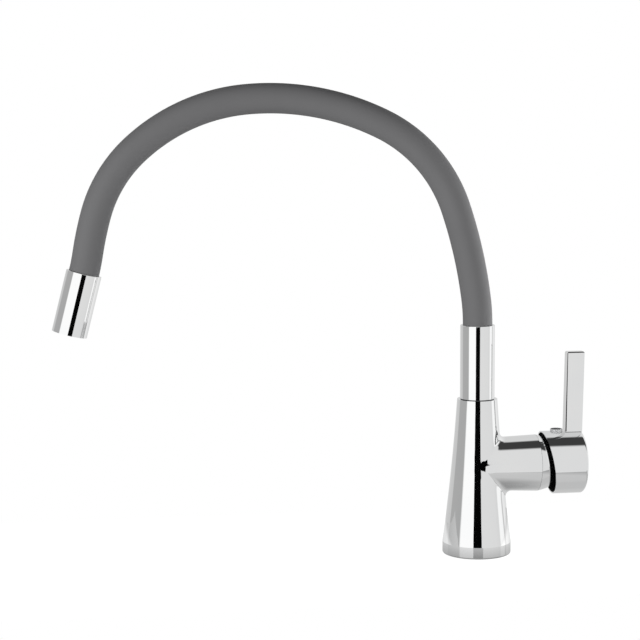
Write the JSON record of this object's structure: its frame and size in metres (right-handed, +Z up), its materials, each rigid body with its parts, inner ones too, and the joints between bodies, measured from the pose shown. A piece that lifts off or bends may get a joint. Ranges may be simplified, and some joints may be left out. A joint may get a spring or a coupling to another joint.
{
  "type": "kitchen mixer tap",
  "caption": "Deck-mounted single-lever kitchen mixer tap with a flared chrome body, a side lever and a swivelling, formable grey silicone spout ending in an aerator nozzle.",
  "frame": {"origin": "middle of the base, on the deck surface that the tap is clamped to", "axes": "+Z up, the spout points to -X, the lever's arm to +X, and Y is across; the tap is the same on both sides of Y = 0"},
  "size_m": [0.4014, 0.052, 0.357],
  "materials": {
    "chrome": "polished chrome plating on brass",
    "silicone": "matte grey silicone",
    "seal_rubber": "black rubber",
    "brass": "turned brass",
    "steel": "plain steel",
    "cartridge_plastic": "glass-filled plastic",
    "bearing_plastic": "dark bearing plastic",
    "ceramic": "lapped ceramic",
    "tube_plastic": "white tube",
    "index_rim": "bright plated plastic",
    "index_grey": "grey plastic",
    "aerator_plastic": "pale grey plastic"
  },
  "bodies": {
    "tap": {"tap_body": "chrome", "base_seal": "seal_rubber", "cartridge_housing": "cartridge_plastic", "cartridge_base": "cartridge_plastic", "port_seals": "seal_rubber", "fixed_disc": "ceramic", "cartridge_nut": "brass", "trim_ring": "chrome", "spout_bush": "bearing_plastic", "spout_retainer": "bearing_plastic"},
    "spout_base": {"swivel_nipple": "brass", "nipple_o_rings": "seal_rubber", "spout_collar": "chrome", "hose_ferrule_lower": "brass", "gooseneck_lower": "steel"},
    "spout_arch": {"spout_sleeve": "silicone", "water_tube": "tube_plastic", "gooseneck_middle": "steel"},
    "outlet": {"gooseneck_upper": "steel", "hose_ferrule_upper": "brass", "outlet_insert": "brass", "nozzle_shell": "chrome", "aerator_washer": "seal_rubber", "aerator_housing": "bearing_plastic", "aerator_screen": "aerator_plastic"},
    "turret": {"spindle_turret": "bearing_plastic", "spindle_pin": "steel"},
    "lever": {"lever_handle": "chrome", "spindle": "steel", "lever_screw": "steel", "index_cap": "index_rim", "index_disc": "index_grey"},
    "mixing_disc": {"disc_carrier": "bearing_plastic", "moving_disc": "ceramic"}
  },
  "joints": [
    {"name": "spout_swivel", "type": "hinge", "parent": "tap", "child": "spout_base", "pos_m": [0, 0, 0.1193], "axis": [0, 0, 1], "continuous": true},
    {"name": "shoulder_bend", "type": "hinge", "parent": "spout_base", "child": "spout_arch", "pos_m": [-0.03851, 0, 0.30033], "axis": [0, 1, 0], "range_deg": [-20, 20], "deforming": ["spout_sleeve", "water_tube"]},
    {"name": "outlet_bend", "type": "hinge", "parent": "spout_arch", "child": "outlet", "pos_m": [-0.27431, 0, 0.28704], "axis": [0, 1, 0], "range_deg": [-25, 25], "deforming": ["spout_sleeve", "water_tube"]},
    {"name": "lever_turn", "type": "hinge", "parent": "tap", "child": "turret", "pos_m": [0.042, 0, 0.068], "axis": [1, 0, 0], "range_deg": [-45, 45]},
    {"name": "lever_lift", "type": "hinge", "parent": "turret", "child": "lever", "pos_m": [0.042, 0, 0.068], "axis": [0, 1, 0], "range_deg": [0, 24]},
    {"name": "disc_slide", "type": "slide", "parent": "turret", "child": "mixing_disc", "axis": [0, 0, 1], "range_m": [0, 0.007]}
  ],
  "couplings": [
    {"joint": "disc_slide", "follows": "lever_lift", "m_per_rad": 0.016507}
  ]
}
